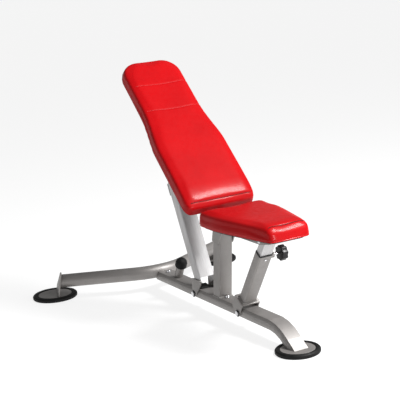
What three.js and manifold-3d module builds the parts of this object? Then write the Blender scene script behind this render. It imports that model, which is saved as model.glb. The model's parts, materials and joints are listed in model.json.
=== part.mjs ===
// Adjustable weight bench: a spine tube on three round feet, a leaning post that
// carries the hinged backrest and the hinged seat, and two telescoping stays.
// Millimetres, +Z up, +X towards the seat, +Y to the sitter's left, origin on the
// floor under the middle of the footprint.

import * as THREE from 'three';
import { mergeVertices } from 'three/addons/utils/BufferGeometryUtils.js';
import Module from 'manifold-3d';

const wasm = await Module();
wasm.setup();

// ---- driving dimensions -----------------------------------------------------

const GAP = 0.3;
const PLATE = 5;

const SPINE = { z: 73, depth: 38, flatHalf: 27.7, bulgeHalf: 33.5, rearX: -383, bendX: 518 };
const SPINE_BEND = { radius: 171, angle: 37 };
const SPINE_TOP = SPINE.z + SPINE.depth / 2;

const REAR_TUBE = { radius: 28, cornerX: -350, cornerZ: 90, endX: -606, endY: 379, endZ: 75, bend: 193 };
const REAR_FOOT = { x: -643.5, y: 395, outer: 95, plate: 71.5 };
const FRONT_FOOT = { x: 658, outer: 80.5, plate: 62 };
const FOOT = { height: 17, floor: 9, plateTop: 15.3 };
const GUSSET = { x: -640, y: 382, length: 138, height: 105, toe: 20, thick: 6, yaw: 18, lean: 11 };

const POST = { x: 143, width: 56, depth: 51.3, top: 358, slope: Math.tan(THREE.MathUtils.degToRad(10.1)) };
const BACK_HINGE = { x: 200, z: 389 };
const SEAT_HINGE = { x: 238, z: 384 };
const HINGE_PIN = 6;
const PIVOT_PIN = 5;

const BACK = { x: 217.5, z: 480.8, lean: -47.1, length: 738, lowerHalf: 149, upperHalf: 125 };
const BACK_PAD = { foam: 53, board: 5, inset: 12 };
const BACK_RAIL = { half: 25, near: 59, far: 89, bottom: -35.3, top: 640 };
const BACK_LUG = { s: 567.4, depth: 118.3, slotHalf: 11.5, slotRadius: 9 };

const SEAT = { x: 265, z: 466.4, pitch: 1.1, length: 405, foam: 58, board: 5, inset: 12 };
const SEAT_BAR = { near: 33.8 };

const PROP = { x: -25, z: 71, lean: -23.5, half: 33.7, sheet: 4, front: 77.9, back: 27.5 };
const PROP_LENGTH = { flange: 28, web: 47, top: 450 };
const PROP_INNER = { half: 24, deep: 15, wall: 3, offset: 50.06, eye: 753, length: 431 };
const PROP_PIN = { station: 424, y: 4 };

const STRUT = { x: 322, z: 71, lean: 36.1, offset: -18, half: 28, deep: 19, wall: 2.5 };
const STRUT_LENGTH = { plate: 45.5, sleeve: 50.8, rim: 296 };
const STRUT_INNER = { half: 24, deep: 15, wall: 3, eye: 369.28, bottom: 130 };
const STRUT_PIN = { station: 277 };
const EAR = { near: 34, far: 39 };

const BUMPER = { x: -229, z: 92, lean: 30.7, radius: 17, cap: 24, length: 58 };

// ---- materials --------------------------------------------------------------

function material(name, color, roughness, metalness) {
  const result = new THREE.MeshStandardMaterial({ color, roughness, metalness });
  result.name = name;
  return result;
}

const silverPaint = () => material('silver_paint', 0xa9abb0, 0.42, 0.6);
const brightSteel = () => material('bright_steel', 0xc9cbce, 0.3, 0.8);
const chromeSteel = () => material('chrome', 0xdadce0, 0.12, 1.0);
const blackRubber = () => material('black_rubber', 0x161617, 0.8, 0.0);
const blackPlastic = () => material('black_plastic', 0x1b1b1d, 0.5, 0.0);
const redLeather = () => material('red_leather', 0xc4131c, 0.5, 0.0);
const darkBoard = () => material('dark_board', 0x241416, 0.8, 0.0);

// ---- placing and cutting ----------------------------------------------------

// A frame leaning about Y: its Z runs up the leaning member, its X to the front of it.
function leaning(geometry, x, z, leanDegrees) {
  geometry.rotateY(THREE.MathUtils.degToRad(leanDegrees));
  geometry.translate(x, 0, z);
  return geometry;
}

function inProp(geometry) {
  return leaning(geometry, PROP.x, PROP.z, PROP.lean);
}

function inStrut(geometry) {
  return leaning(geometry, STRUT.x, STRUT.z, STRUT.lean);
}

function inBack(geometry) {
  return leaning(geometry, BACK.x, BACK.z, BACK.lean);
}

function inSeat(geometry) {
  return leaning(geometry, SEAT.x, SEAT.z, SEAT.pitch);
}

function toSolid(geometry) {
  const bare = geometry.index ? geometry.toNonIndexed() : geometry.clone();
  bare.deleteAttribute('normal');
  bare.deleteAttribute('uv');
  const merged = mergeVertices(bare, 1e-4);
  const numProp = 3;
  const vertProperties = new Float32Array(merged.attributes.position.array);
  const triVerts = new Uint32Array(merged.index.array);
  return new wasm.Manifold(new wasm.Mesh({ numProp, vertProperties, triVerts }));
}

function toGeometry(manifold) {
  const mesh = manifold.getMesh();
  const geometry = new THREE.BufferGeometry();
  geometry.setAttribute('position', new THREE.BufferAttribute(new Float32Array(mesh.vertProperties), 3));
  geometry.setIndex(new THREE.BufferAttribute(new Uint32Array(mesh.triVerts), 1));
  geometry.computeVertexNormals();
  return geometry;
}

function cut(body, ...tools) {
  let result = toSolid(body);
  for (const tool of tools) {
    result = result.subtract(toSolid(tool));
  }
  return toGeometry(result);
}

function joined(body, ...pieces) {
  let result = toSolid(body);
  for (const piece of pieces) {
    result = result.add(toSolid(piece));
  }
  return toGeometry(result);
}

// ---- basic shapes -----------------------------------------------------------

function polygon(points) {
  return new THREE.Shape(points.map(([x, y]) => new THREE.Vector2(x, y)));
}

function roundedRect(halfX, halfY, radius) {
  const shape = new THREE.Shape();
  shape.moveTo(-halfX + radius, -halfY);
  shape.lineTo(halfX - radius, -halfY);
  shape.absarc(halfX - radius, -halfY + radius, radius, -Math.PI / 2, 0, false);
  shape.lineTo(halfX, halfY - radius);
  shape.absarc(halfX - radius, halfY - radius, radius, 0, Math.PI / 2, false);
  shape.lineTo(-halfX + radius, halfY);
  shape.absarc(-halfX + radius, halfY - radius, radius, Math.PI / 2, Math.PI, false);
  shape.lineTo(-halfX, -halfY + radius);
  shape.absarc(-halfX + radius, -halfY + radius, radius, Math.PI, Math.PI * 1.5, false);
  return shape;
}

// Outline around circles [x, y, radius] set in convex order, counter-clockwise.
function hullOf(circles, segments = 16) {
  const points = [];
  for (const [x, y, radius] of circles) {
    for (let i = 0; i < segments; i += 1) {
      const angle = (i / segments) * Math.PI * 2;
      points.push([x + radius * Math.cos(angle), y + radius * Math.sin(angle)]);
    }
  }
  points.sort((a, b) => a[0] - b[0] || a[1] - b[1]);
  const turn = (o, a, b) => (a[0] - o[0]) * (b[1] - o[1]) - (a[1] - o[1]) * (b[0] - o[0]);
  const chain = (list) => {
    const kept = [];
    for (const point of list) {
      while (kept.length > 1 && turn(kept[kept.length - 2], kept[kept.length - 1], point) <= 1e-6) {
        kept.pop();
      }
      kept.push(point);
    }
    kept.pop();
    return kept;
  };
  return polygon([...chain(points), ...chain([...points].reverse())]);
}

function extruded(shape, depth, bevel = 0) {
  const options = { depth: depth - 2 * bevel, bevelEnabled: bevel > 0, curveSegments: 5 };
  if (bevel > 0) {
    options.bevelThickness = bevel;
    options.bevelSize = bevel;
    options.bevelOffset = -bevel;
    options.bevelSegments = 3;
  }
  const geometry = new THREE.ExtrudeGeometry(shape, options);
  return geometry.translate(0, 0, bevel);
}

// Shape in X and Z, thick along Y.
function slabY(shape, y0, y1, bevel = 0) {
  const geometry = extruded(shape, y1 - y0, bevel);
  geometry.rotateX(Math.PI / 2);
  return geometry.translate(0, y1, 0);
}

// Shape in Y and Z, thick along X.
function slabX(shape, x0, x1, bevel = 0) {
  const geometry = extruded(shape, x1 - x0, bevel);
  const turn = new THREE.Matrix4().makeBasis(
    new THREE.Vector3(0, 1, 0),
    new THREE.Vector3(0, 0, 1),
    new THREE.Vector3(1, 0, 0),
  );
  return geometry.applyMatrix4(turn).translate(x0, 0, 0);
}

// Shape in X and Y, thick along Z.
function slabZ(shape, z0, z1, bevel = 0) {
  return extruded(shape, z1 - z0, bevel).translate(0, 0, z0);
}

function block(x0, x1, y0, y1, z0, z1) {
  const geometry = new THREE.BoxGeometry(x1 - x0, y1 - y0, z1 - z0);
  return geometry.translate((x0 + x1) / 2, (y0 + y1) / 2, (z0 + z1) / 2);
}

function rodX(radius, x0, x1, y = 0, z = 0, segments = 20) {
  const geometry = new THREE.CylinderGeometry(radius, radius, x1 - x0, segments);
  return geometry.rotateZ(-Math.PI / 2).translate((x0 + x1) / 2, y, z);
}

function rodY(radius, y0, y1, x = 0, z = 0, segments = 20) {
  const geometry = new THREE.CylinderGeometry(radius, radius, y1 - y0, segments);
  return geometry.translate(x, (y0 + y1) / 2, z);
}

function latheZ(profile, segments = 32) {
  const points = profile.map(([r, z]) => new THREE.Vector2(r, z));
  return new THREE.LatheGeometry(points, segments).rotateX(Math.PI / 2);
}

// Reflection in the plane Y = 0, with each triangle turned back to face outward.
function mirroredY(geometry) {
  const copy = geometry.index ? geometry.clone() : mergeVertices(geometry);
  copy.scale(1, -1, 1);
  const corners = copy.index.array;
  for (let i = 0; i < corners.length; i += 3) {
    [corners[i], corners[i + 1]] = [corners[i + 1], corners[i]];
  }
  return copy;
}

// ---- base frame -------------------------------------------------------------

// Two straight runs joined by one bend of the given centre-line radius.
function bentPath(start, corner, end, radius) {
  const first = new THREE.Vector3().subVectors(start, corner).normalize();
  const second = new THREE.Vector3().subVectors(end, corner).normalize();
  const turn = Math.PI - first.angleTo(second);
  const tangent = radius * Math.tan(turn / 2);
  const handle = tangent - (4 / 3) * Math.tan(turn / 4) * radius;
  const bendStart = corner.clone().addScaledVector(first, tangent);
  const bendEnd = corner.clone().addScaledVector(second, tangent);
  const path = new THREE.CurvePath();
  path.add(new THREE.LineCurve3(start, bendStart));
  path.add(new THREE.CubicBezierCurve3(
    bendStart,
    corner.clone().addScaledVector(first, handle),
    corner.clone().addScaledVector(second, handle),
    bendEnd,
  ));
  path.add(new THREE.LineCurve3(bendEnd, end));
  return path;
}

// Flat-topped tube section with bulging sides; X is its depth, Y its width.
function spineSection() {
  const half = SPINE.depth / 2;
  const sag = SPINE.bulgeHalf - SPINE.flatHalf;
  const radius = (half * half + sag * sag) / (2 * sag);
  const sweep = Math.asin(half / radius);
  const steps = 6;
  const points = [];
  for (const side of [1, -1]) {
    for (let i = 0; i <= steps; i += 1) {
      const angle = sweep * (1 - (2 * i) / steps);
      const depth = radius * Math.sin(angle) * side;
      const width = (SPINE.bulgeHalf - radius + radius * Math.cos(angle)) * side;
      points.push([depth, width]);
    }
  }
  return polygon(points);
}

function rearTubeGeometry(radius) {
  const path = bentPath(
    new THREE.Vector3(REAR_TUBE.endX - 40, -REAR_TUBE.endY - 60, REAR_TUBE.endZ - 2),
    new THREE.Vector3(REAR_TUBE.cornerX, 0, REAR_TUBE.cornerZ),
    new THREE.Vector3(REAR_TUBE.endX - 40, REAR_TUBE.endY + 60, REAR_TUBE.endZ - 2),
    REAR_TUBE.bend,
  );
  const circle = new THREE.Shape().absarc(0, 0, radius, 0, Math.PI * 2, false);
  const options = { steps: 26, extrudePath: path, curveSegments: 12, bevelEnabled: false };
  return new THREE.ExtrudeGeometry(circle, options);
}

function gussetPlate(side, thickness, grow) {
  const half = GUSSET.length / 2;
  const outline = polygon([
    [-half - grow, -grow],
    [half + grow, -grow],
    [half + grow, GUSSET.height + grow],
    [half - 12, GUSSET.height + grow],
    [-half - grow, GUSSET.toe + grow],
  ]);
  const plate = slabY(outline, -thickness / 2, thickness / 2);
  plate.rotateX(THREE.MathUtils.degToRad(GUSSET.lean * side));
  plate.rotateZ(THREE.MathUtils.degToRad(GUSSET.yaw * side));
  return plate.translate(GUSSET.x, GUSSET.y * side, FOOT.plateTop + GAP + 0.6);
}

// Everything outside the inner face of a gusset, for trimming the tube end.
function outsideOfGusset(side) {
  const near = -(GUSSET.thick / 2 + GAP);
  const wall = block(-400, 400, near, near + 400, -300, 400);
  if (side < 0) {
    wall.translate(0, -2 * near - 400, 0);
  }
  wall.rotateX(THREE.MathUtils.degToRad(GUSSET.lean * side));
  wall.rotateZ(THREE.MathUtils.degToRad(GUSSET.yaw * side));
  return wall.translate(GUSSET.x, GUSSET.y * side, FOOT.plateTop + GAP + 0.6);
}

function rearTube() {
  return cut(rearTubeGeometry(REAR_TUBE.radius), outsideOfGusset(1), outsideOfGusset(-1));
}

function mainTube() {
  const angle = THREE.MathUtils.degToRad(SPINE_BEND.angle);
  const cornerX = SPINE.bendX + SPINE_BEND.radius * Math.tan(angle / 2);
  const drop = 110;
  const path = bentPath(
    new THREE.Vector3(SPINE.rearX, 0, SPINE.z),
    new THREE.Vector3(cornerX, 0, SPINE.z),
    new THREE.Vector3(cornerX + drop / Math.tan(angle), 0, SPINE.z - drop),
    SPINE_BEND.radius,
  );
  const options = { steps: 30, extrudePath: path, bevelEnabled: false };
  const tube = new THREE.ExtrudeGeometry(spineSection(), options);
  return cut(
    tube,
    rearTubeGeometry(REAR_TUBE.radius + GAP),
    block(500, 900, -80, 80, -120, FOOT.plateTop + GAP),
    rodY(PIVOT_PIN + GAP, -60, 60, PROP.x, PROP.z),
    rodY(PIVOT_PIN + GAP, -60, 60, STRUT.x, STRUT.z),
  );
}

function postTube() {
  const post = slabZ(roundedRect(POST.depth / 2, POST.width / 2, 5), 0, POST.top - SPINE_TOP - GAP);
  const shear = new THREE.Matrix4().set(1, 0, POST.slope, 0, 0, 1, 0, 0, 0, 0, 1, 0, 0, 0, 0, 1);
  return post.applyMatrix4(shear).translate(POST.x, 0, SPINE_TOP + GAP);
}

function footRing(x, y, outer, recess) {
  const ring = latheZ([
    [0, 0],
    [outer - 3, 0],
    [outer, 3],
    [outer, FOOT.height - 5],
    [outer - 5, FOOT.height],
    [recess + 4, FOOT.height],
    [recess, FOOT.height - 3],
    [recess, FOOT.floor],
    [0, FOOT.floor],
  ], 40);
  return ring.translate(x, y, 0);
}

function footPlate(x, y, radius) {
  const plate = latheZ([
    [0, FOOT.floor + GAP],
    [radius, FOOT.floor + GAP],
    [radius, FOOT.plateTop - 1],
    [radius - 1, FOOT.plateTop],
    [0, FOOT.plateTop],
  ], 32);
  return plate.translate(x, y, 0);
}

function bumperStub() {
  const stub = leaning(latheZ([
    [0, -30],
    [BUMPER.radius, -30],
    [BUMPER.radius, BUMPER.length],
    [0, BUMPER.length],
  ], 24), BUMPER.x, BUMPER.z, BUMPER.lean);
  return cut(stub, block(-400, 0, -80, 80, 0, SPINE_TOP + GAP));
}

function bumperCap() {
  const start = BUMPER.length + GAP;
  const r = BUMPER.cap;
  return leaning(latheZ([
    [0, start],
    [r - 2, start],
    [r, start + 2],
    [r, start + 20],
    [r * 0.87, start + 29],
    [r * 0.6, start + 36],
    [r * 0.3, start + 39],
    [0, start + 40],
  ], 24), BUMPER.x, BUMPER.z, BUMPER.lean);
}

function restPad() {
  const outline = polygon([
    [-36, SPINE_TOP + GAP],
    [10, SPINE_TOP + GAP],
    [8, SPINE_TOP + 6],
    [-30, SPINE_TOP + 11],
  ]);
  return slabY(outline, -21, 21);
}

function tubeBolt(x) {
  const head = latheZ([[0, 0], [11, 0], [11, 2], [9, 2.2], [9, 6.5], [6, 8.5], [0, 9]], 12);
  return head.translate(x, 0, SPINE_TOP + GAP);
}

// ---- hinges and pins --------------------------------------------------------

function hingePlate(side) {
  const lowZ = 312;
  const lowX = POST.x + (lowZ - SPINE_TOP) * POST.slope;
  const outline = hullOf([
    [BACK_HINGE.x, BACK_HINGE.z, 16],
    [SEAT_HINGE.x, SEAT_HINGE.z, 14],
    [lowX - 18, lowZ + 8, 5],
    [lowX + 18, lowZ, 5],
  ]);
  const plate = cut(
    slabY(outline, POST.width / 2 + GAP, POST.width / 2 + GAP + PLATE),
    rodY(HINGE_PIN + GAP, 0, 60, BACK_HINGE.x, BACK_HINGE.z),
    rodY(HINGE_PIN + GAP, 0, 60, SEAT_HINGE.x, SEAT_HINGE.z),
  );
  return side > 0 ? plate : mirroredY(plate);
}

// Shank along Y with a low hexagonal head and nut outside the given half span.
function crossPin(x, z, radius, halfSpan, headRadius, headHeight) {
  return joined(
    rodY(radius, -halfSpan - 1, halfSpan + 1, x, z),
    rodY(headRadius, halfSpan, halfSpan + headHeight, x, z, 6),
    rodY(headRadius, -halfSpan - headHeight, -halfSpan, x, z, 6),
  );
}

// ---- backrest ---------------------------------------------------------------

// Wide over the lower back, waisted to a narrower head end; Y is across, Z up the pad.
function backOutline(inset) {
  const low = BACK.lowerHalf - inset;
  const high = BACK.upperHalf - inset;
  const bottom = -10 + inset;
  const top = BACK.length - inset;
  const shape = new THREE.Shape();
  shape.moveTo(-low + 27, bottom);
  shape.lineTo(low - 27, bottom);
  shape.bezierCurveTo(low - 5, bottom, low, bottom + 25, low, bottom + 60);
  shape.lineTo(low, 275);
  shape.bezierCurveTo(low, 345, high, 400, high, 500);
  shape.lineTo(high, top - 75);
  shape.bezierCurveTo(high, top - 36, high - 28, top - 2, high - 72, top);
  shape.lineTo(-high + 72, top);
  shape.bezierCurveTo(-high + 28, top - 2, -high, top - 36, -high, top - 75);
  shape.lineTo(-high, 500);
  shape.bezierCurveTo(-high, 400, -low, 345, -low, 275);
  shape.lineTo(-low, bottom + 60);
  shape.bezierCurveTo(-low, bottom + 25, -low + 5, bottom, -low + 27, bottom);
  return shape;
}

function backrestPad() {
  return inBack(slabX(backOutline(0), -BACK_PAD.foam, 0, 9));
}

function backrestBoard() {
  const near = -BACK_PAD.foam - GAP;
  return inBack(slabX(backOutline(BACK_PAD.inset), near - BACK_PAD.board, near));
}

function backrestRail() {
  const { half, near, far, bottom, top } = BACK_RAIL;
  const section = roundedRect((far - near) / 2, half, 4);
  return inBack(slabZ(section, bottom, top).translate(-(near + far) / 2, 0, 0));
}

function backrestBarrel() {
  const half = POST.width / 2 - 0.5;
  return cut(
    rodY(14, -half, half, BACK_HINGE.x, BACK_HINGE.z, 28),
    rodY(HINGE_PIN + GAP, -60, 60, BACK_HINGE.x, BACK_HINGE.z, 28),
  );
}

// Slotted ear beside the rail; the slot lets the stay's top pin float.
function backrestLug(side) {
  const { s, depth, slotHalf, slotRadius } = BACK_LUG;
  const outline = hullOf([
    [-depth - slotHalf, s, slotRadius + 6],
    [-BACK_RAIL.near - 8, s + 26, 4],
    [-BACK_RAIL.near - 8, s - 26, 4],
  ]);
  const slot = hullOf([[-depth - slotHalf, s, slotRadius], [-depth + slotHalf, s, slotRadius]]);
  const plate = cut(
    slabY(outline, BACK_RAIL.half + GAP, BACK_RAIL.half + GAP + PLATE),
    slabY(slot, 0, 60),
  );
  const placed = inBack(plate);
  return side > 0 ? placed : mirroredY(placed);
}

// Tab that bolts the board to the rail, drilled for one bolt.
function backrestTab(side, s) {
  const near = BACK_RAIL.near - GAP - 0.1;
  const inner = BACK_RAIL.half + GAP;
  const tab = joined(
    block(-near - 4, -near, inner, inner + 36, s - 20, s + 20),
    block(-near - 24, -near, inner, inner + 4, s - 20, s + 20),
    rodX(7, -near - 9, -near - 3, inner + 20, s, 6),
  );
  const placed = inBack(tab);
  return side > 0 ? placed : mirroredY(placed);
}

// ---- seat -------------------------------------------------------------------

// Wide at the hips, tapering to the front; X runs forward, Y across.
function seatOutline(inset) {
  const rear = inset;
  const front = SEAT.length - inset;
  const wide = 135 - inset;
  const narrow = 86 - inset;
  const shape = new THREE.Shape();
  shape.moveTo(rear, -wide + 18);
  shape.bezierCurveTo(rear, -wide + 6, rear + 6, -wide, rear + 18, -wide);
  shape.lineTo(90, -wide);
  shape.bezierCurveTo(150, -wide, 240, -narrow - 26, front - 30, -narrow);
  shape.bezierCurveTo(front - 8, -narrow + 4, front, -narrow + 12, front, -narrow + 32);
  shape.lineTo(front, narrow - 32);
  shape.bezierCurveTo(front, narrow - 12, front - 8, narrow - 4, front - 30, narrow);
  shape.bezierCurveTo(240, narrow + 26, 150, wide, 90, wide);
  shape.lineTo(rear + 18, wide);
  shape.bezierCurveTo(rear + 6, wide, rear, wide - 6, rear, wide - 18);
  return shape;
}

function seatPad() {
  return inSeat(slabZ(seatOutline(0), -SEAT.foam, 0, 9));
}

function seatBoard() {
  const top = -SEAT.foam - GAP;
  return inSeat(slabZ(seatOutline(SEAT.inset), top - SEAT.board, top));
}

// Top edge of the seat bars, parallel to the board's underside.
function seatUnderside(x) {
  const slope = Math.tan(THREE.MathUtils.degToRad(SEAT.pitch));
  return SEAT.z - SEAT.foam - SEAT.board - 2 * GAP - 0.1 - (x - SEAT.x) * slope;
}

function seatBar(side) {
  const pivot = along(STRUT, STRUT_INNER.eye, STRUT.offset);
  const outline = hullOf([
    [SEAT_HINGE.x, SEAT_HINGE.z, 14],
    [pivot.x, pivot.z, 14],
    [280, seatUnderside(280) - 2, 1],
    [600, seatUnderside(600) - 2, 1],
    [596, seatUnderside(600) - 14, 3],
  ]);
  const bar = cut(
    slabY(outline, SEAT_BAR.near, SEAT_BAR.near + PLATE),
    rodY(HINGE_PIN + GAP, 0, 60, SEAT_HINGE.x, SEAT_HINGE.z),
    rodY(PIVOT_PIN + 1.2, 0, 60, pivot.x, pivot.z),
  );
  return side > 0 ? bar : mirroredY(bar);
}

function seatSpacer(x) {
  const half = SEAT_BAR.near - GAP;
  const top = seatUnderside(x);
  return block(x - 14, x + 14, -half, half, top - 16, top - 1);
}

// ---- telescoping stays ------------------------------------------------------

// Point at a station up a leaning member and a distance in front of its pivot line.
function along(member, station, front) {
  const lean = THREE.MathUtils.degToRad(member.lean);
  return {
    x: member.x + station * Math.sin(lean) + front * Math.cos(lean),
    z: member.z + station * Math.cos(lean) - front * Math.sin(lean),
  };
}

// Hollow bar with a rounded, drilled eye end and locking holes down one side.
function innerTube({ half, deep, wall, eye, bottom, centre, holeFace }) {
  const outline = hullOf([
    [centre, eye, deep],
    [centre - deep + 1, bottom + 1, 1],
    [centre + deep - 1, bottom + 1, 1],
  ]);
  const cavityTop = eye - deep - 8;
  const tools = [
    block(centre - deep + wall, centre + deep - wall, -half + wall, half - wall, bottom - 10, cavityTop),
    rodY(PIVOT_PIN + GAP, -60, 60, centre, eye),
  ];
  const pitch = 32;
  for (let z = bottom + 30; z < cavityTop - 20; z += pitch) {
    if (holeFace === 'rear') {
      tools.push(rodX(5.5, centre - deep - 5, centre, PROP_PIN.y, z, 12));
    } else {
      tools.push(rodY(5.5, half - wall - 2, half + 5, centre, z, 12));
    }
  }
  return cut(slabY(outline, -half, half), ...tools);
}

function propChannel() {
  const { half, sheet, front, back } = PROP;
  const { flange, web, top } = PROP_LENGTH;
  const outer = slabZ(roundedRect((front - back) / 2, half, 6), flange, top);
  outer.translate((front + back) / 2, 0, 0);
  const inner = roundedRect((front - back) / 2, half - sheet, 3);
  const hollow = slabZ(inner, flange - 10, top + 10).translate((front + back) / 2 - sheet, 0, 0);
  const openBack = block(back - 40, back + 8, -half + sheet, half - sheet, flange - 10, top + 10);
  const trimBack = block(back - 40, back + 0.01, -80, 80, flange - 10, top + 10);
  const shortWeb = block(back - 10, front + 10, -half + sheet, half - sheet, flange - 10, web);
  return inProp(cut(outer, hollow, openBack, trimBack, shortWeb));
}

function propEar(side) {
  const outline = hullOf([
    [PROP.x, PROP.z, 13],
    [PROP.x - 3, 130, 4],
    [PROP.x + 59, 130, 4],
    [PROP.x + 59, 119, 4],
  ]);
  const plate = cut(
    slabY(outline, EAR.near, EAR.far),
    rodY(PIVOT_PIN + GAP, 0, 60, PROP.x, PROP.z),
  );
  return side > 0 ? plate : mirroredY(plate);
}

function propStrap() {
  const { half, back } = PROP;
  const { station, y } = PROP_PIN;
  const plate = block(back - GAP - 4, back - GAP, -half, half, station - 24, station + 24);
  return inProp(cut(plate, rodX(PIVOT_PIN + GAP, back - 20, back + 10, y, station)));
}

function propGuide(side) {
  const near = PROP_INNER.half + GAP;
  const far = PROP.half - PROP.sheet - GAP;
  const { offset, deep } = PROP_INNER;
  const { top } = PROP_LENGTH;
  const guide = inProp(block(offset - deep, offset + deep, near, far, top - 52, top - 2));
  return side > 0 ? guide : mirroredY(guide);
}

function propPinBarrel() {
  const { station, y } = PROP_PIN;
  const end = PROP.back - 2 * GAP - 4;
  return inProp(cut(
    rodX(10, end - 14, end, y, station, 20),
    rodX(PIVOT_PIN + GAP, end - 30, end + 10, y, station),
  ));
}

function propPinPlunger() {
  const { station, y } = PROP_PIN;
  const tip = PROP_INNER.offset - PROP_INNER.deep - 0.7;
  return inProp(rodX(PIVOT_PIN, PROP.back - 34, tip, y, station));
}

function propPinKnob() {
  const { station, y } = PROP_PIN;
  const face = PROP.back - 34 - GAP;
  const knob = latheZ([[0, 0], [8, 0], [12, 3], [14, 8], [14, 12], [11, 16], [0, 18]], 20);
  return inProp(knob.rotateY(-Math.PI / 2).translate(face, y, station));
}

function propInner() {
  const { half, deep, wall, eye, length, offset } = PROP_INNER;
  return inProp(innerTube({ half, deep, wall, eye, bottom: eye - length, centre: offset, holeFace: 'rear' }));
}

function propTopPin() {
  const { eye, offset } = PROP_INNER;
  const halfSpan = BACK_RAIL.half + GAP + PLATE + GAP;
  return inProp(crossPin(offset, eye, PIVOT_PIN, halfSpan, 11, 4));
}

function strutSleeve() {
  const { offset, half, deep, wall } = STRUT;
  const { sleeve, rim } = STRUT_LENGTH;
  const outer = slabZ(roundedRect(deep, half, 8), sleeve, rim).translate(offset, 0, 0);
  const bore = roundedRect(deep - wall, half - wall, 3.5);
  const hollow = slabZ(bore, sleeve - 10, rim + 10).translate(offset, 0, 0);
  const pinHole = rodY(PIVOT_PIN + GAP, 10, 60, offset, STRUT_PIN.station);
  return inStrut(cut(outer, hollow, pinHole));
}

function strutLiner() {
  const { offset, half, deep } = STRUT;
  const { rim } = STRUT_LENGTH;
  const outer = slabZ(roundedRect(deep, half, 8), rim + GAP, rim + 5).translate(offset, 0, 0);
  const hollow = slabZ(
    roundedRect(STRUT_INNER.deep + 2 * GAP, STRUT_INNER.half + 2 * GAP, 2),
    rim - 10,
    rim + 20,
  ).translate(offset, 0, 0);
  return inStrut(cut(outer, hollow));
}

function strutTopPlate() {
  const { plate } = STRUT_LENGTH;
  return inStrut(block(-48, 9, -EAR.far, EAR.far, plate, plate + PLATE));
}

function strutEar(side) {
  const top = STRUT_LENGTH.plate - GAP;
  const outline = hullOf([
    [0, 0, 13],
    [-14, -3, 12],
    [-36, 6, 10],
    [-46, top - 2, 2],
    [7, top - 2, 2],
  ]);
  const plate = inStrut(cut(slabY(outline, EAR.near, EAR.far), rodY(PIVOT_PIN + GAP, 0, 60)));
  return side > 0 ? plate : mirroredY(plate);
}

function strutScrew() {
  const face = STRUT.offset + STRUT.deep + GAP;
  const screw = latheZ([[0, 0], [5, 0], [5, 1.5], [3, 3], [0, 3.4]], 12);
  return inStrut(screw.rotateY(Math.PI / 2).translate(face, 0, STRUT_LENGTH.rim - 16));
}

function strutPinBarrel() {
  const near = STRUT.half + GAP;
  const { station } = STRUT_PIN;
  return inStrut(cut(
    rodY(11, near, near + 16, STRUT.offset, station),
    rodY(PIVOT_PIN + GAP, 0, 90, STRUT.offset, station),
  ));
}

function strutPinPlunger() {
  const tip = STRUT_INNER.half + 0.8;
  return inStrut(rodY(PIVOT_PIN, tip, 68, STRUT.offset, STRUT_PIN.station));
}

// Eight-lobed grip around the plunger's outer end.
function strutPinKnob() {
  const points = [];
  const count = 48;
  for (let i = 0; i < count; i += 1) {
    const angle = (i / count) * Math.PI * 2;
    const radius = 27 + 2 * Math.cos(8 * angle);
    points.push([STRUT.offset + radius * Math.cos(angle), STRUT_PIN.station + radius * Math.sin(angle)]);
  }
  return inStrut(slabY(polygon(points), 68 + GAP, 92, 3));
}

function strutInner() {
  const { half, deep, wall, eye, bottom } = STRUT_INNER;
  return inStrut(innerTube({ half, deep, wall, eye, bottom, centre: STRUT.offset, holeFace: 'side' }));
}

function strutTopPin() {
  return inStrut(crossPin(STRUT.offset, STRUT_INNER.eye, PIVOT_PIN, SEAT_BAR.near + PLATE + 2 * GAP, 9, 4));
}

// ---- assembly ---------------------------------------------------------------

const bench = new THREE.Group();
bench.name = 'adjustable_weight_bench';

function add(name, geometry, surface) {
  const mesh = new THREE.Mesh(geometry, surface);
  mesh.name = name;
  bench.add(mesh);
}

function addPair(name, make, surface) {
  add(`${name}_l`, make(1), surface());
  add(`${name}_r`, make(-1), surface());
}

add('main_tube', mainTube(), silverPaint());
add('rear_tube', rearTube(), silverPaint());
add('post_tube', postTube(), silverPaint());
add('front_foot_ring', footRing(FRONT_FOOT.x, 0, FRONT_FOOT.outer, FRONT_FOOT.plate + 0.5), blackRubber());
add('front_foot_plate', footPlate(FRONT_FOOT.x, 0, FRONT_FOOT.plate), silverPaint());
addPair('rear_foot_ring', (side) => footRing(
  REAR_FOOT.x,
  REAR_FOOT.y * side,
  REAR_FOOT.outer,
  REAR_FOOT.plate + 0.5,
), blackRubber);
addPair('rear_foot_plate', (side) => footPlate(
  REAR_FOOT.x,
  REAR_FOOT.y * side,
  REAR_FOOT.plate,
), silverPaint);
addPair('leg_gusset', (side) => gussetPlate(side, GUSSET.thick, 0), silverPaint);
add('bumper_stub', bumperStub(), silverPaint());
add('bumper_cap', bumperCap(), blackRubber());
add('rest_pad', restPad(), blackRubber());
add('tube_bolt_rear', tubeBolt(-321), chromeSteel());
add('tube_bolt_front', tubeBolt(180), chromeSteel());
addPair('hinge_plate', hingePlate, silverPaint);
const backPinHalf = POST.width / 2 + PLATE + 2 * GAP;
const seatPinHalf = SEAT_BAR.near + PLATE + GAP;
add('backrest_hinge_pin', crossPin(BACK_HINGE.x, BACK_HINGE.z, HINGE_PIN, backPinHalf, 10, 5), chromeSteel());
add('seat_hinge_pin', crossPin(SEAT_HINGE.x, SEAT_HINGE.z, HINGE_PIN, seatPinHalf, 10, 5), chromeSteel());
add('prop_pivot_bolt', crossPin(PROP.x, PROP.z, PIVOT_PIN, EAR.far + GAP, 10, 6), chromeSteel());
add('strut_pivot_bolt', crossPin(STRUT.x, STRUT.z, PIVOT_PIN, EAR.far + GAP, 10, 6), chromeSteel());

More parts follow.
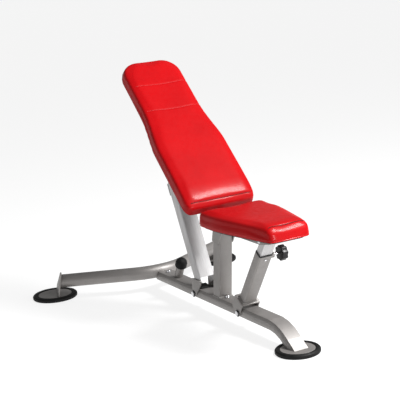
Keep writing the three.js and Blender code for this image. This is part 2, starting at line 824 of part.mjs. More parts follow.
add('prop_channel', propChannel(), brightSteel());
addPair('prop_ear', propEar, silverPaint);
add('prop_strap', propStrap(), brightSteel());
addPair('prop_guide', propGuide, blackPlastic);
add('prop_pin_barrel', propPinBarrel(), silverPaint());
add('prop_inner', propInner(), brightSteel());
add('prop_top_pin', propTopPin(), chromeSteel());
add('prop_pin_plunger', propPinPlunger(), chromeSteel());
add('prop_pin_knob', propPinKnob(), blackPlastic());

add('backrest_pad', backrestPad(), redLeather());
add('backrest_board', backrestBoard(), darkBoard());
add('backrest_rail', backrestRail(), silverPaint());
add('backrest_barrel', backrestBarrel(), silverPaint());
addPair('backrest_lug', backrestLug, silverPaint);
addPair('backrest_tab_low', (side) => backrestTab(side, 120), silverPaint);
addPair('backrest_tab_high', (side) => backrestTab(side, 440), silverPaint);

add('seat_pad', seatPad(), redLeather());
add('seat_board', seatBoard(), darkBoard());
addPair('seat_bar', seatBar, silverPaint);
add('seat_spacer_rear', seatSpacer(300), silverPaint());
add('seat_spacer_front', seatSpacer(582), silverPaint());

add('strut_sleeve', strutSleeve(), silverPaint());
add('strut_liner', strutLiner(), blackPlastic());
add('strut_top_plate', strutTopPlate(), silverPaint());
addPair('strut_ear', strutEar, silverPaint);
add('strut_screw', strutScrew(), chromeSteel());
add('strut_pin_barrel', strutPinBarrel(), silverPaint());
add('strut_inner', strutInner(), brightSteel());
add('strut_top_pin', strutTopPin(), chromeSteel());
add('strut_pin_plunger', strutPinPlunger(), chromeSteel());
add('strut_pin_knob', strutPinKnob(), blackPlastic());

export default bench;
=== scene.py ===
# Adjustable weight bench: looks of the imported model, in metres and in its own frame.
import json
import math
import random

import bmesh
import bpy
import numpy as np
from mathutils import Matrix, Vector

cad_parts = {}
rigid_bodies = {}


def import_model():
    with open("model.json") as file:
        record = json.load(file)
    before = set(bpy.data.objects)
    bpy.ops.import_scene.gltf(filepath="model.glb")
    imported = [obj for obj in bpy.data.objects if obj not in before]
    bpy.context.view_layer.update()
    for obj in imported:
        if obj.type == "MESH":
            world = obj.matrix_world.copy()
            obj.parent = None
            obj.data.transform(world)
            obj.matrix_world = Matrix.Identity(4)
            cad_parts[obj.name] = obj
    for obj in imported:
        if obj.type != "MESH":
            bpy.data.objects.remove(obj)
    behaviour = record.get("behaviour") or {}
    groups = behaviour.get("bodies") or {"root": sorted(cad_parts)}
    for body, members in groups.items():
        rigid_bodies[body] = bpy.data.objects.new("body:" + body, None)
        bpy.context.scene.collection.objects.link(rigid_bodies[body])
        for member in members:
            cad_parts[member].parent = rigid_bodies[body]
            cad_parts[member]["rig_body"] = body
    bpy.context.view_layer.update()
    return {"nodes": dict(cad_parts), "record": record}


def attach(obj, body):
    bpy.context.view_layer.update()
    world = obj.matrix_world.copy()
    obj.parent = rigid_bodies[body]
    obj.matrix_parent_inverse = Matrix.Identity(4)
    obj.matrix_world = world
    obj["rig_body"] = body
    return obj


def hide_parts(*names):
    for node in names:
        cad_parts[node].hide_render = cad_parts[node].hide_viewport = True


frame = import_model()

SEED = 11

# An angle in degrees, the cloth's air pressure, and its last frame.
SHARP_ANGLE = 32.0
PRESSURE = 4.0
LAST_FRAME = 20

# Driving sizes, in metres. The pads' depths run from 0 at the face to minus the foam's thickness.
FLOOR_HALF = 300.0
EDGE_SOFTENING = 0.0008
BACK_FOAM = 0.053
SEAT_FOAM = 0.058
BACK_VOXEL = 0.0055
SEAT_VOXEL = 0.005
SWELL_CAP = 0.005
HELD_EDGE = 0.009
SEAM_WIDTH = 0.0032
EDGE_SEAM_DEPTH = 0.0012
HEAD_SEAM_DEPTH = 0.0010
LOWER_SEAM_RISE = 0.0075
LOWER_SEAM_WIDTH = 0.0022
LOWER_SEAM_DEPTH = 0.0016
BACK_SEAM_FADE = -0.036
SEAT_SEAM_FADE = -0.040
ROLL_RAMP = 0.035
RAY_START = 0.05
THREAD_LIFT = 0.0006
STITCH_PITCH = 0.0075
EDGE_THREAD = 0.0019
HEAD_THREAD = 0.0011
BACK_LOWER_HALF = 0.149
BACK_UPPER_HALF = 0.125
BACK_TOP = 0.738
SEAT_REAR_HALF = 0.135
SEAT_FRONT_HALF = 0.086
SEAT_LENGTH = 0.405
SEAT_SEAM = 0.379

# Backrest seams: station up the pad, bow at the middle, half length, groove depth, thread radius.
BACK_SEAMS = (
    (0.014, 0.0, 0.128, EDGE_SEAM_DEPTH, EDGE_THREAD),
    (0.475, 0.012, 0.112, HEAD_SEAM_DEPTH, HEAD_THREAD),
    (0.606, 0.010, 0.108, HEAD_SEAM_DEPTH, HEAD_THREAD),
)


# ---- camera, light and floor --------------------------------------------------

def add_camera():
    data = bpy.data.cameras.new("view_camera")
    data.sensor_width = 36.0
    data.lens = 101.02
    data.clip_end = 800.0
    camera = bpy.data.objects.new("view_camera", data)
    right = Vector((0.4704, 0.8777, -0.0911)).normalized()
    back = Vector((0.8720, -0.4465, 0.2006)).normalized()
    up = back.cross(right).normalized()
    right = up.cross(back).normalized()
    turn = Matrix((right, up, back)).transposed().to_4x4()
    camera.matrix_world = Matrix.Translation((3.8006, -1.9318, 1.3180)) @ turn
    bpy.context.scene.collection.objects.link(camera)
    bpy.context.scene.camera = camera


def add_area(name, place, target, size, power):
    data = bpy.data.lights.new(name, "AREA")
    data.shape = "RECTANGLE"
    data.size, data.size_y = size
    data.energy = power
    lamp = bpy.data.objects.new(name, data)
    lamp.location = place
    aim = Vector(target) - Vector(place)
    lamp.rotation_euler = aim.to_track_quat("-Z", "Y").to_euler()
    bpy.context.scene.collection.objects.link(lamp)


def add_studio():
    scene = bpy.context.scene
    scene.view_settings.view_transform = "Standard"
    world = bpy.data.worlds.new("studio")
    scene.world = world
    world.use_nodes = True
    back = world.node_tree.nodes["Background"]
    back.inputs["Color"].default_value = (1.0, 1.0, 1.0, 1.0)
    back.inputs["Strength"].default_value = 0.3
    add_area("key_softbox", (1.75, 1.45, 2.85), (0.15, 0.0, 0.4), (1.0, 1.0), 190)
    add_area("front_softbox", (3.8, 0.6, 1.0), (0.1, 0.0, 0.4), (0.6, 1.2), 60)


# ---- node materials -----------------------------------------------------------

class Look:
    """A material with one principled shader and a few helpers for its texture nodes."""

    def __init__(self, name, roughness, metallic=0.0):
        self.material = bpy.data.materials.new(name)
        self.material.use_nodes = True
        self.nodes = self.material.node_tree.nodes
        self.links = self.material.node_tree.links
        self.shader = self.nodes["Principled BSDF"]
        self.shader.inputs["Roughness"].default_value = roughness
        self.shader.inputs["Metallic"].default_value = metallic
        self.coords = self.nodes.new("ShaderNodeTexCoord").outputs["Object"]

    def noise(self, scale, detail=3.0, roughness=0.5, stretch=None):
        node = self.nodes.new("ShaderNodeTexNoise")
        node.inputs["Scale"].default_value = scale
        node.inputs["Detail"].default_value = detail
        node.inputs["Roughness"].default_value = roughness
        self.links.new(self.stretched(stretch), node.inputs["Vector"])
        return node.outputs["Fac"]

    def cells(self, scale):
        node = self.nodes.new("ShaderNodeTexVoronoi")
        node.feature = "DISTANCE_TO_EDGE"
        node.inputs["Scale"].default_value = scale
        self.links.new(self.coords, node.inputs["Vector"])
        return node.outputs["Distance"]

    def stretched(self, stretch):
        if stretch is None:
            return self.coords
        node = self.nodes.new("ShaderNodeMapping")
        node.inputs["Scale"].default_value = stretch
        self.links.new(self.coords, node.inputs["Vector"])
        return node.outputs["Vector"]

    def ramp(self, value, stops):
        node = self.nodes.new("ShaderNodeValToRGB")
        ends = node.color_ramp.elements
        while len(ends) < len(stops):
            ends.new(0.5)
        for end, (position, color) in zip(ends, stops):
            end.position = position
            end.color = (*color, 1.0)
        self.links.new(value, node.inputs["Fac"])
        return node.outputs["Color"]

    def mapped(self, value, low, high, start=0.3, end=0.7):
        node = self.nodes.new("ShaderNodeMapRange")
        node.inputs["From Min"].default_value = start
        node.inputs["From Max"].default_value = end
        node.inputs["To Min"].default_value = low
        node.inputs["To Max"].default_value = high
        self.links.new(value, node.inputs["Value"])
        return node.outputs["Result"]

    def mixed(self, factor, first, second):
        node = self.nodes.new("ShaderNodeMix")
        node.data_type = "RGBA"
        self.links.new(factor, node.inputs[0])
        self.links.new(first, node.inputs[6])
        self.links.new(second, node.inputs[7])
        return node.outputs[2]

    def bump(self, heights):
        normal = None
        for height, strength, distance in heights:
            node = self.nodes.new("ShaderNodeBump")
            node.inputs["Strength"].default_value = strength
            node.inputs["Distance"].default_value = distance
            self.links.new(height, node.inputs["Height"])
            if normal is not None:
                self.links.new(normal, node.inputs["Normal"])
            normal = node.outputs["Normal"]
        self.links.new(normal, self.shader.inputs["Normal"])

    def set(self, socket, value):
        self.links.new(value, self.shader.inputs[socket])


def silver_paint():
    look = Look("silver_paint", 0.4, 0.55)
    flakes = look.noise(2600.0, 2.0)
    patches = look.noise(9.0, 4.0)
    base = look.ramp(patches, [(0.3, (0.21, 0.197, 0.188)), (0.7, (0.265, 0.251, 0.242))])
    worn = look.ramp(flakes, [(0.3, (0.237, 0.225, 0.216)), (0.7, (0.34, 0.325, 0.316))])
    look.set("Base Color", look.mixed(look.mapped(flakes, 0.1, 0.6), base, worn))
    look.set("Roughness", look.mapped(look.noise(35.0, 5.0), 0.44, 0.57))
    look.bump([(look.noise(420.0, 2.0), 0.05, 0.0006), (flakes, 0.03, 0.0002)])
    look.shader.inputs["Coat Weight"].default_value = 0.12
    look.shader.inputs["Coat Roughness"].default_value = 0.3
    return look.material


def bright_steel():
    look = Look("bright_steel", 0.3, 0.25)
    drawn = look.noise(60.0, 5.0, 0.6, (1.0, 9.0, 0.12))
    look.set("Base Color", look.ramp(drawn, [(0.3, (0.42, 0.412, 0.41)), (0.7, (0.54, 0.535, 0.54))]))
    look.set("Roughness", look.mapped(look.noise(24.0, 5.0), 0.34, 0.46))
    look.bump([(drawn, 0.06, 0.0004)])
    return look.material


def chrome():
    look = Look("chrome", 0.12, 1.0)
    smear = look.noise(45.0, 5.0)
    look.set("Base Color", look.ramp(smear, [(0.3, (0.62, 0.62, 0.64)), (0.7, (0.80, 0.80, 0.82))]))
    look.set("Roughness", look.mapped(smear, 0.08, 0.2))
    look.bump([(look.noise(300.0, 3.0), 0.03, 0.0002)])
    return look.material


def black_rubber():
    look = Look("black_rubber", 0.6)
    dust = look.noise(60.0, 6.0)
    look.set("Base Color", look.ramp(dust, [(0.35, (0.004, 0.004, 0.004)), (0.8, (0.011, 0.011, 0.011))]))
    look.set("Roughness", look.mapped(dust, 0.5, 0.72))
    look.bump([(look.noise(700.0, 4.0), 0.25, 0.0004)])
    look.shader.inputs["Specular IOR Level"].default_value = 0.18
    return look.material


def black_plastic():
    look = Look("black_plastic", 0.35)
    cloud = look.noise(80.0, 4.0)
    look.set("Base Color", look.ramp(cloud, [(0.3, (0.004, 0.004, 0.005)), (0.8, (0.011, 0.011, 0.012))]))
    look.set("Roughness", look.mapped(cloud, 0.26, 0.42))
    look.bump([(look.noise(900.0, 3.0), 0.12, 0.0003)])
    look.shader.inputs["Specular IOR Level"].default_value = 0.3
    return look.material


def red_leather():
    look = Look("red_leather", 0.42)
    cloud = look.noise(7.0, 4.0)
    grain = look.cells(420.0)
    fine = look.noise(1500.0, 3.0)
    deep = look.ramp(cloud, [(0.3, (0.335, 0.0011, 0.0026)), (0.7, (0.40, 0.0017, 0.0034))])
    # Painted shade: near the edges of the grain cells the leather is mixed up to 45 % toward this darker
    # red, standing in for shade in the grain's crevices.
    painted_crease_shade = look.ramp(cloud, [(0.3, (0.22, 0.0009, 0.0020)), (0.7, (0.27, 0.0012, 0.0025))])
    look.set("Base Color", look.mixed(look.mapped(grain, 0.45, 0.0, 0.0, 0.12), deep, painted_crease_shade))
    look.set("Roughness", look.mapped(look.noise(60.0, 5.0), 0.36, 0.5))
    look.bump([(grain, 0.12, 0.0005), (fine, 0.05, 0.0003), (look.noise(14.0, 3.0), 0.10, 0.004)])
    look.shader.inputs["Specular IOR Level"].default_value = 0.07
    look.shader.inputs["Coat Weight"].default_value = 0.13
    look.shader.inputs["Coat Roughness"].default_value = 0.17
    return look.material


def dark_board():
    look = Look("dark_board", 0.7)
    weave = look.noise(500.0, 4.0, 0.6, (1.0, 2.5, 1.0))
    look.set("Base Color", look.ramp(weave, [(0.3, (0.012, 0.008, 0.009)), (0.75, (0.035, 0.026, 0.027))]))
    look.set("Roughness", look.mapped(weave, 0.6, 0.8))
    look.bump([(weave, 0.2, 0.0005)])
    return look.material


def weld_metal():
    look = Look("weld_metal", 0.45, 0.6)
    ripple = look.noise(220.0, 3.0)
    look.set("Base Color", look.ramp(ripple, [(0.3, (0.24, 0.23, 0.22)), (0.7, (0.38, 0.37, 0.36))]))
    look.set("Roughness", look.mapped(ripple, 0.36, 0.55))
    look.bump([(ripple, 0.4, 0.0008)])
    return look.material


def seam_thread(name, dark, light):
    look = Look(name, 0.7)
    twist = look.noise(900.0, 2.0)
    look.set("Base Color", look.ramp(twist, [(0.3, dark), (0.7, light)]))
    look.bump([(twist, 0.4, 0.0003)])
    return look.material


def floor_paper():
    look = Look("floor_paper", 0.85)
    fibre = look.noise(120.0, 6.0)
    look.set("Base Color", look.ramp(fibre, [(0.3, (0.23, 0.23, 0.23)), (0.7, (0.27, 0.27, 0.27))]))
    look.bump([(fibre, 0.02, 0.0005)])
    look.set("Emission Color", look.ramp(fibre, [(0.3, (0.98, 0.98, 0.98)), (0.7, (1.0, 1.0, 1.0))]))
    look.shader.inputs["Emission Strength"].default_value = 0.82
    return look.material


# ---- pieces -------------------------------------------------------------------

def place(obj, body, nodes, slot, material):
    obj.data.materials.clear()
    obj.data.materials.append(material)
    if obj.name not in bpy.context.scene.collection.objects:
        bpy.context.scene.collection.objects.link(obj)
    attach(obj, body)
    if nodes:
        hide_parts(*nodes)
    return obj


def dressed(node, material, slot):
    """A rounded, smooth-shaded piece that stands for one CAD node."""
    source = frame["nodes"][node]
    mesh = source.data.copy()
    mesh.name = "shell_" + node
    made = bmesh.new()
    made.from_mesh(mesh)
    bmesh.ops.remove_doubles(made, verts=made.verts, dist=1e-6)
    bmesh.ops.dissolve_limit(made, angle_limit=math.radians(1.5), verts=made.verts, edges=made.edges)
    made.to_mesh(mesh)
    made.free()
    mesh.polygons.foreach_set("use_smooth", [True] * len(mesh.polygons))
    mesh.set_sharp_from_angle(angle=math.radians(SHARP_ANGLE))
    piece = bpy.data.objects.new("shell_" + node, mesh)
    bpy.context.scene.collection.objects.link(piece)
    bevel = piece.modifiers.new("edge", "BEVEL")
    bevel.width = EDGE_SOFTENING
    bevel.segments = 2
    bevel.limit_method = "ANGLE"
    bevel.angle_limit = math.radians(SHARP_ANGLE)
    bevel.harden_normals = True
    return place(piece, source["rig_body"], [node], slot, material)


def local_frame(x, z, lean):
    """Matrix of a frame leaning about Y by that many degrees, in metres."""
    turn = Matrix.Rotation(math.radians(lean), 4, "Y")
    return Matrix.Translation((x, 0.0, z)) @ turn


BACK_FRAME = local_frame(0.2175, 0.4808, -47.1)
SEAT_FRAME = local_frame(0.265, 0.4664, 1.1)
STRUT_FRAME = local_frame(0.322, 0.071, 36.1)


def curve_point(a, b, c, d, t):
    return tuple(
        a[i] * (1 - t) ** 3 + 3 * b[i] * t * (1 - t) ** 2 + 3 * c[i] * t * t * (1 - t) + d[i] * t ** 3
        for i in range(2)
    )


def half_outline(runs, count=24):
    """Points down one side of a pad, from straight runs and cubic bends."""
    points = [runs[0]]
    for run in runs[1:]:
        start = points[-1]
        steps = [k / count for k in range(1, count + 1)]
        if len(run) == 2:
            points += [tuple(start[i] + (run[i] - start[i]) * t for i in range(2)) for t in steps]
        else:
            points += [curve_point(start, *run, t) for t in steps]
    return points


def back_side(inset):
    low, high = BACK_LOWER_HALF - inset, BACK_UPPER_HALF - inset
    bottom, top = -0.010 + inset, BACK_TOP - inset
    return half_outline([
        (0.0, bottom),
        (low - 0.027, bottom),
        ((low - 0.005, bottom), (low, bottom + 0.025), (low, bottom + 0.060)),
        (low, 0.275),
        ((low, 0.345), (high, 0.400), (high, 0.500)),
        (high, top - 0.075),
        ((high, top - 0.036), (high - 0.028, top - 0.002), (high - 0.072, top)),
        (0.0, top),
    ])


def seat_side(inset):
    rear, front = inset, SEAT_LENGTH - inset
    wide, narrow = SEAT_REAR_HALF - inset, SEAT_FRONT_HALF - inset
    return half_outline([
        (0.0, rear),
        (wide - 0.018, rear),
        ((wide - 0.006, rear), (wide, rear + 0.006), (wide, rear + 0.018)),
        (wide, 0.090),
        ((wide, 0.150), (narrow + 0.026, 0.240), (narrow, front - 0.030)),
        ((narrow - 0.004, front - 0.008), (narrow - 0.012, front), (narrow - 0.032, front)),
        (0.0, front),
    ])


def full_loop(side):
    return side + [(-y, s) for y, s in reversed(side[1:-1])]


def rounded_rims(side, foam, start=-0.003, bend=0.011, lower=0.006):
    """Outlines of an unblown cushion, from its board side to its rounded top edge."""
    rims = []
    for k in range(4):
        angle = math.pi / 2 * k / 3
        rims.append((full_loop(side(start + lower * (1 - math.sin(angle)))),
                     -foam + 0.0005 + lower * (1 - math.cos(angle))))
    for k in range(6):
        angle = math.pi / 2 * k / 5
        rims.append((full_loop(side(start + bend * (1 - math.cos(angle)))),
                     -0.0035 - bend * (1 - math.sin(angle))))
    rims.append((full_loop(side(start + bend + 0.020)), -0.0025))
    return rims


def pad_blank(name, loops):
    """Closed mesh through a stack of outlines: each is (points, depth)."""
    made = bmesh.new()
    rings = [[made.verts.new((y, s, depth)) for y, s in points] for points, depth in loops]
    for low, high in zip(rings, rings[1:]):
        for i in range(len(low)):
            j = (i + 1) % len(low)
            made.faces.new((low[i], low[j], high[j], high[i]))
    made.faces.new(list(reversed(rings[0])))
    made.faces.new(rings[-1])
    bmesh.ops.recalc_face_normals(made, faces=made.faces)
    mesh = bpy.data.meshes.new(name)
    made.to_mesh(mesh)
    made.free()
    obj = bpy.data.objects.new(name, mesh)
    bpy.context.scene.collection.objects.link(obj)
    return obj


def applied(obj):
    """Bakes the modifiers into the mesh."""
    graph = bpy.context.evaluated_depsgraph_get()
    mesh = bpy.data.meshes.new_from_object(obj.evaluated_get(graph), depsgraph=graph)
    obj.modifiers.clear()
    old = obj.data
    obj.data = mesh
    bpy.data.meshes.remove(old)


def remeshed(obj, voxel):
    remesh = obj.modifiers.new("skin", "REMESH")
    remesh.mode = "VOXEL"
    remesh.voxel_size = voxel
    applied(obj)


def evened(mesh, values, rounds=14):
    """Averages a value over each vertex's neighbours, which irons out small wrinkles."""
    ends = np.empty(len(mesh.edges) * 2, np.int32)
    mesh.edges.foreach_get("vertices", ends)
    first, second = ends.reshape(-1, 2).T
    count = np.bincount(ends, minlength=len(values)).astype(float)[:, None]
    for _ in range(rounds):
        total = np.zeros_like(values, dtype=float)
        for axis in range(3):
            total[:, axis] += np.bincount(first, values[second, axis], len(values))
            total[:, axis] += np.bincount(second, values[first, axis], len(values))
        values = 0.5 * values + 0.5 * total / count
    return values


def inflated(obj, foam):
    """Foam under a stretched cover: the skin swells, held along the board side."""
    mesh = obj.data
    rest = np.empty(len(mesh.vertices) * 3, np.float32)
    mesh.vertices.foreach_get("co", rest)
    rest = rest.reshape(-1, 3)
    held = obj.vertex_groups.new(name="held")
    for index in np.nonzero(rest[:, 2] < HELD_EDGE - foam)[0]:
        held.add([int(index)], 1.0, "REPLACE")
    cloth = obj.modifiers.new("cloth", "CLOTH")
    cloth.settings.quality = 6
    cloth.settings.mass = 0.3
    cloth.settings.tension_stiffness = 18.0
    cloth.settings.compression_stiffness = 18.0
    cloth.settings.shear_stiffness = 8.0
    cloth.settings.bending_stiffness = 1.2
    cloth.settings.use_pressure = True
    cloth.settings.uniform_pressure_force = PRESSURE
    cloth.settings.vertex_group_mass = "held"
    cloth.settings.effector_weights.gravity = 0.0
    cloth.point_cache.frame_start = 1
    cloth.point_cache.frame_end = LAST_FRAME
    scene = bpy.context.scene
    for number in range(1, LAST_FRAME + 1):
        scene.frame_set(number)
    graph = bpy.context.evaluated_depsgraph_get()
    swollen = obj.evaluated_get(graph).to_mesh()
    moved = np.empty(len(swollen.vertices) * 3, np.float32)
    swollen.vertices.foreach_get("co", moved)
    obj.evaluated_get(graph).to_mesh_clear()
    shift = evened(mesh, moved.reshape(-1, 3) - rest)
    length = np.linalg.norm(shift, axis=1, keepdims=True)
    shift *= np.minimum(1.0, SWELL_CAP / np.maximum(length, 1e-9))
    obj.modifiers.clear()
    mesh.vertices.foreach_set("co", (rest + shift).ravel())
    mesh.update()
    scene.frame_set(1)


def smoothed(obj):
    soft = obj.modifiers.new("relax", "SMOOTH")
    soft.factor = 0.5
    soft.iterations = 6
    fine = obj.modifiers.new("fine", "SUBSURF")
    fine.levels = 1
    fine.render_levels = 1
    applied(obj)


def read_points(mesh):
    points = np.empty(len(mesh.vertices) * 3, np.float32)
    mesh.vertices.foreach_get("co", points)
    normals = np.empty(len(mesh.vertices) * 3, np.float32)
    mesh.vertices.foreach_get("normal", normals)
    return points.reshape(-1, 3).astype(float), normals.reshape(-1, 3).astype(float)


def pad_finish(obj, matrix, body, node, material):
    obj.data.transform(matrix)
    obj.data.polygons.foreach_set("use_smooth", [True] * len(obj.data.polygons))
    place(obj, body, [node], "pad_leather", material)


def seam_groove(points, normals, distance, width, depth, weight):
    dent = np.exp(-(distance / width) ** 2) * depth * weight
    return points - normals * dent[:, None]


def thread_along(name, points, body, material, radius):
    """A thin sewn thread through the points, as short stitches."""
    made = bmesh.new()
    for a, b in zip(points, points[1:]):
        run = (b - a).length
        count = max(1, round(run / STITCH_PITCH))
        for k in range(count):
            start = a.lerp(b, (k + 0.06) / count)
            end = a.lerp(b, (k + 0.94) / count)
            axis = end - start
            turn = axis.to_track_quat("Z", "Y").to_matrix().to_4x4()
            middle = Matrix.Translation((start + end) / 2)
            scale = Matrix.Diagonal((radius, radius, axis.length / 2, 1.0))
            bmesh.ops.create_icosphere(made, subdivisions=1, radius=1.0, matrix=middle @ turn @ scale)
    mesh = bpy.data.meshes.new(name)
    made.to_mesh(mesh)
    made.free()
    mesh.polygons.foreach_set("use_smooth", [True] * len(mesh.polygons))
    place(bpy.data.objects.new(name, mesh), body, [], "pad_leather", material)


def seam_path(mesh_obj, across, seam_depth):
    """World points where the seam meets the pad's face, read off the finished pad."""
    graph = bpy.context.evaluated_depsgraph_get()
    shape = mesh_obj.evaluated_get(graph)
    found = []
    for start, direction in across:
        hit, place_at, normal, _ = shape.ray_cast(start, direction)
        if hit:
            found.append(place_at + normal * seam_depth)
    return found


def swollen_pad(name, side, foam, voxel):
    """A cushion before its seams, in the pad's own frame: across, along and depth."""
    pad = pad_blank(name, rounded_rims(side, foam))
    remeshed(pad, voxel)
    inflated(pad, foam)
    smoothed(pad)
    return pad


def roll_off(points, foam, rolls):
    """Lets the face fall away towards an edge: each roll is a drop, how far along it, and a limit."""
    upper = np.clip((points[:, 2] + foam) / ROLL_RAMP, 0.0, 1.0)
    for drop, along, most in rolls:
        points[:, 2] -= drop * upper * np.clip(along, 0.0, most) ** 2


def face_weight(depth):
    """1 on the face of a cushion, falling to 0 down its side walls."""
    return np.clip((depth + 0.030) / 0.020, 0.0, 1.0)


def lower_seam(points, normals, depth, foam, fade):
    """The sewn line around the side wall, just above the board; fade is the depth where it ends."""
    wall = np.clip((fade - depth) / 0.004, 0.0, 1.0) * np.clip((depth + foam) / 0.004, 0.0, 1.0)
    distance = depth + foam - LOWER_SEAM_RISE
    return seam_groove(points, normals, distance, LOWER_SEAM_WIDTH, LOWER_SEAM_DEPTH, wall)


def back_seam_line(seam, bow, across):
    return seam - bow * (1.0 - (across / BACK_UPPER_HALF) ** 2)


def backrest_cushion(material, edge_shade_thread, head_thread):
    pad = swollen_pad("backrest_cushion", back_side, BACK_FOAM, BACK_VOXEL)
    points, normals = read_points(pad.data)
    y, s, depth = points.T
    roll_off(points, BACK_FOAM, [(0.010, (0.085 - s) / 0.085, 1.2)])
    front = face_weight(depth)
    for seam, bow, _, deep, _ in BACK_SEAMS:
        distance = s - back_seam_line(seam, bow, y)
        points = seam_groove(points, normals, distance, SEAM_WIDTH, deep, front)
    points = lower_seam(points, normals, depth, BACK_FOAM, BACK_SEAM_FADE)
    pad.data.vertices.foreach_set("co", points.astype(np.float32).ravel())
    turn = BACK_FRAME @ Matrix(((0, 0, 1, 0), (1, 0, 0, 0), (0, 1, 0, 0), (0, 0, 0, 1)))
    pad_finish(pad, turn, "backrest", "backrest_pad", material)
    aim = -(BACK_FRAME.to_3x3() @ Vector((1.0, 0.0, 0.0)))
    for index, (seam, bow, half, _, radius) in enumerate(BACK_SEAMS):
        thread = edge_shade_thread if index == 0 else head_thread
        rays = []
        for k in range(41):
            across = half * (k / 20 - 1)
            start = Vector((RAY_START, across, back_seam_line(seam, bow, across)))
            rays.append((BACK_FRAME @ start, aim))
        path = seam_path(pad, rays, THREAD_LIFT)
        thread_along(f"backrest_stitches_{index}", path, "backrest", thread, radius)


def seat_cushion(material, thread):
    pad = swollen_pad("seat_cushion", seat_side, SEAT_FOAM, SEAT_VOXEL)
    points, normals = read_points(pad.data)
    _, s, depth = points.T
    roll_off(points, SEAT_FOAM, [(0.004, (s - 0.320) / 0.055, 1.6), (0.011, (s - 0.373) / 0.032, 1.3)])
    top = face_weight(depth)
    points = seam_groove(points, normals, s - SEAT_SEAM, SEAM_WIDTH, EDGE_SEAM_DEPTH, top)
    points = lower_seam(points, normals, depth, SEAT_FOAM, SEAT_SEAM_FADE)
    pad.data.vertices.foreach_set("co", points.astype(np.float32).ravel())
    turn = SEAT_FRAME @ Matrix(((0, 1, 0, 0), (1, 0, 0, 0), (0, 0, 1, 0), (0, 0, 0, 1)))
    pad.data.flip_normals()
    pad_finish(pad, turn, "seat", "seat_pad", material)
    aim = -(SEAT_FRAME.to_3x3() @ Vector((0.0, 0.0, 1.0)))
    rays = []
    for k in range(31):
        across = 0.072 * (k / 15 - 1)
        rays.append((SEAT_FRAME @ Vector((SEAT_SEAM, across, RAY_START)), aim))
    path = seam_path(pad, rays, THREAD_LIFT)
    # This near-black thread is partly painted shade: it draws the dark line of the seam groove.
    thread_along("seat_stitches", path, "seat", thread, EDGE_THREAD)


def weld_bead(name, points, body, material, radius=0.0028, closed=True):
    """A rippled bead of weld along a run of points in the shared frame."""
    chance = random.Random(SEED + len(name))
    made = bmesh.new()
    path = [Vector(p) for p in points]
    if closed:
        path.append(path[0])
    for a, b in zip(path, path[1:]):
        count = max(1, int((b - a).length / 0.0028))
        for k in range(count):
            spot = a.lerp(b, k / count)
            size = radius * (0.85 + 0.3 * chance.random())
            drop = Matrix.Translation(spot) @ Matrix.Diagonal((size, size, size * 0.8, 1.0))
            bmesh.ops.create_icosphere(made, subdivisions=1, radius=1.0, matrix=drop)
    mesh = bpy.data.meshes.new(name)
    made.to_mesh(mesh)
    made.free()
    mesh.polygons.foreach_set("use_smooth", [True] * len(mesh.polygons))
    place(bpy.data.objects.new(name, mesh), body, [], "frame_paint", material)


def washer(name, center, axis, outer, inner, thick, body, slot, material):
    made = bmesh.new()
    count = 28
    rings = []
    for radius, height in ((inner, 0.0), (outer, 0.0), (outer, thick), (inner, thick)):
        rings.append([made.verts.new((radius * math.cos(2 * math.pi * k / count),
                                      radius * math.sin(2 * math.pi * k / count), height))
                      for k in range(count)])
    for low, high in zip(rings, rings[1:] + rings[:1]):
        for i in range(count):
            j = (i + 1) % count
            made.faces.new((low[i], low[j], high[j], high[i]))
    bmesh.ops.recalc_face_normals(made, faces=made.faces)
    mesh = bpy.data.meshes.new(name)
    made.to_mesh(mesh)
    made.free()
    turn = Vector(axis).to_track_quat("Z", "Y").to_matrix().to_4x4()
    mesh.transform(Matrix.Translation(center) @ turn)
    mesh.polygons.foreach_set("use_smooth", [True] * len(mesh.polygons))
    mesh.set_sharp_from_angle(angle=math.radians(40))
    place(bpy.data.objects.new(name, mesh), body, [], slot, material)


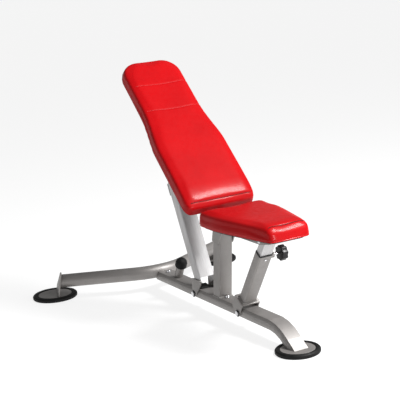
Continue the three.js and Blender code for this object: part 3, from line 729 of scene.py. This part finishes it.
def welds(material):
    slope = math.tan(math.radians(10.1))
    post = [(-0.0257, -0.028), (0.0257, -0.028), (0.0257, 0.028), (-0.0257, 0.028)]
    base = [(0.143 + x + 0.001 * slope, y, 0.0932) for x, y in post]
    weld_bead("post_weld", base, "frame", material)
    for side in (1, -1):
        tag = "l" if side > 0 else "r"
        yaw = math.radians(18 * side)
        start = Vector((-0.640, 0.382 * side, 0.0165))
        along = Vector((math.cos(yaw), math.sin(yaw), 0.0))
        out = Vector((-math.sin(yaw), math.cos(yaw), 0.0)) * side
        for name, shift in (("outer", 0.0040), ("inner", -0.0040)):
            run = [start + along * a + out * shift for a in (-0.062, 0.062)]
            weld_bead(f"gusset_weld_{name}_{tag}", run, "frame", material, 0.0024, closed=False)
    plate = []
    for x, y in ((-0.038, -0.0285), (0.0015, -0.0285), (0.0015, 0.0285), (-0.038, 0.0285)):
        plate.append(STRUT_FRAME @ Vector((x, y, 0.0515)))
    weld_bead("sleeve_weld", plate, "strut", material, 0.0022)
    collar = []
    for k in range(24):
        angle = 2 * math.pi * k / 24
        frame_at = local_frame(-0.229, 0.092, 30.7)
        spot = frame_at @ Vector((0.0172 * math.cos(angle), 0.0172 * math.sin(angle), 0.0))
        collar.append((spot.x, spot.y, 0.0932))
    weld_bead("bumper_weld", collar, "frame", material, 0.0022)


def washers(plastic):
    for name, x, z, half, body in (
        ("prop_bolt", -0.025, 0.071, 0.0392, "frame"),
        ("strut_bolt", 0.322, 0.071, 0.0392, "frame"),
    ):
        for side in (1, -1):
            tag = "l" if side > 0 else "r"
            washer(f"{name}_washer_{tag}", (x, half * side, z), (0, side, 0), 0.0135, 0.0054, 0.0014,
                   body, "plastic", plastic)


def add_floor(material):
    mesh = bpy.data.meshes.new("floor")
    corners = [(FLOOR_HALF * x, FLOOR_HALF * y, 0.0) for x, y in ((-1, -1), (1, -1), (1, 1), (-1, 1))]
    mesh.from_pydata(corners, [], [(0, 1, 2, 3)])
    floor = bpy.data.objects.new("floor", mesh)
    mesh.materials.append(material)
    bpy.context.scene.collection.objects.link(floor)


# ---- the scene ----------------------------------------------------------------

add_camera()
add_studio()
add_floor(floor_paper())

LOOKS = {
    "frame_paint": silver_paint(),
    "bright_steel": bright_steel(),
    "chrome": chrome(),
    "rubber": black_rubber(),
    "plastic": black_plastic(),
    "board": dark_board(),
}
LEATHER = red_leather()
# Partly real thread, partly painted shade: these stitches are near-black, far darker than the leather, so
# they also draw the shade of the sewn groove as a dark line.
SEAM_SHADE_THREAD = seam_thread("seam_shade_thread", (0.022, 0.001, 0.002), (0.05, 0.003, 0.004))
PALE_THREAD = seam_thread("pale_thread", (0.42, 0.022, 0.028), (0.60, 0.045, 0.05))

slots = {entry["node"]: entry["material_slot"] for entry in frame["record"]["subparts"]}
for node in sorted(frame["nodes"]):
    slot = slots[node]
    if slot == "pad_leather":
        continue
    dressed(node, LOOKS[slot], slot)

backrest_cushion(LEATHER, SEAM_SHADE_THREAD, PALE_THREAD)
seat_cushion(LEATHER, SEAM_SHADE_THREAD)
welds(weld_metal())
washers(LOOKS["plastic"])
